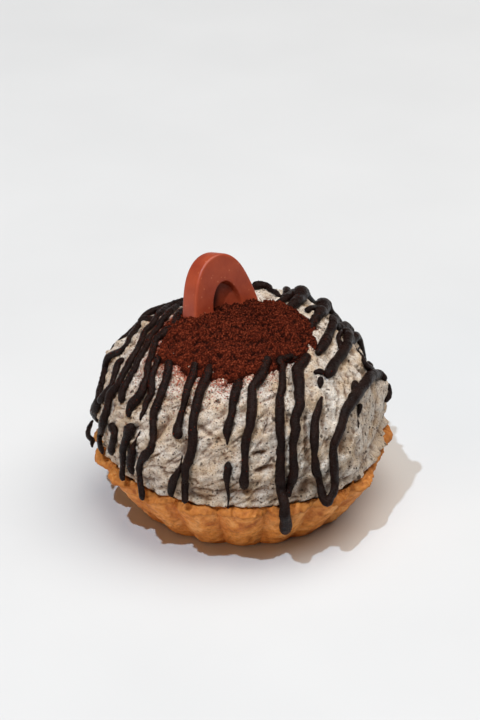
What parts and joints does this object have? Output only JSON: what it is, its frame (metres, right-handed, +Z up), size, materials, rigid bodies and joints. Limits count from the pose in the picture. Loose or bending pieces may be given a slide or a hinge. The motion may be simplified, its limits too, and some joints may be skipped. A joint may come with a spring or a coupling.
{
  "type": "banoffee pie",
  "caption": "Small fluted tartlet filled with a dome of speckled whipped cream, piped with dark chocolate and topped with cocoa and an upright oval chocolate.",
  "frame": {"origin": "middle of the base, on the surface that the pie stands on", "axes": "+Z up through the crown of the cream, -Y towards the side seen in the picture, +X to its right"},
  "size_m": [0.0857, 0.088, 0.0692],
  "materials": {
    "pastry": "golden brown baked shortcrust, dry and slightly rough",
    "cream": "soft matt whipped cream with fine dark cookie crumbs all through it",
    "cocoa": "dry loose cocoa, clumped in small curls",
    "chocolate": "smooth moulded chocolate with a satin face"
  },
  "bodies": {
    "root": {"crust": "pastry", "cream": "cream", "cocoa": "cocoa", "oval_chocolate": "chocolate"}
  },
  "joints": []
}
